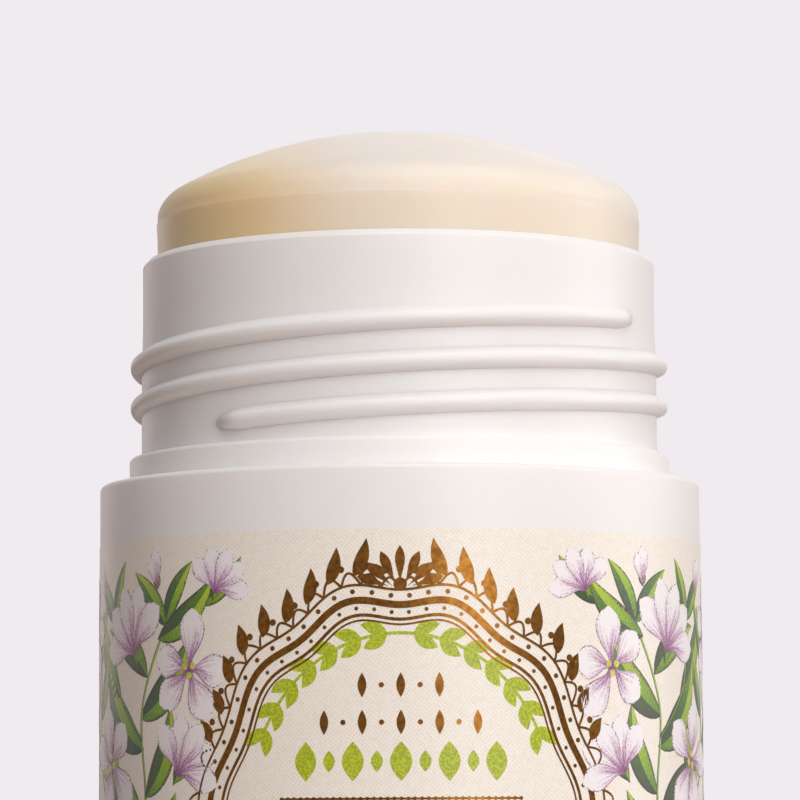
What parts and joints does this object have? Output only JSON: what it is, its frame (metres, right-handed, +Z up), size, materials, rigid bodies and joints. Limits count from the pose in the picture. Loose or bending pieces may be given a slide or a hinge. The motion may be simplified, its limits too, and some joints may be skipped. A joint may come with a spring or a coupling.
{
  "type": "deodorant stick",
  "caption": "Round twist-up deodorant stick, cap off: domed cream wax in a threaded white neck, labelled outer sleeve, and a fluted knob that raises the stick.",
  "frame": {"origin": "centre of the base, on the surface it stands on", "axes": "+Z up along the stick, -Y the front of the label, +X to the right"},
  "size_m": [0.04, 0.0401, 0.0817],
  "materials": {
    "white_plastic": "moulded satin",
    "label_film": "printed satin film",
    "wax": "cast wax, soft sheen",
    "natural_plastic": "moulded, natural"
  },
  "bodies": {
    "barrel": {"inner_barrel": "white_plastic", "outer_sleeve": "white_plastic", "wrap_label": "label_film"},
    "knob": {"base_knob": "white_plastic", "spindle": "natural_plastic"},
    "carrier": {"elevator": "natural_plastic", "product_stick": "wax"}
  },
  "joints": [
    {"name": "knob_twist", "type": "hinge", "parent": "barrel", "child": "knob", "pos_m": [0, 0, 0], "axis": [0, 0, 1], "range_deg": [-270, 4320]},
    {"name": "carrier_lift", "type": "slide", "parent": "barrel", "child": "carrier", "axis": [0, 0, 1], "range_m": [-0.003, 0.048]}
  ],
  "couplings": [
    {"joint": "knob_twist", "follows": "carrier_lift", "rad_per_m": 1570.8}
  ]
}
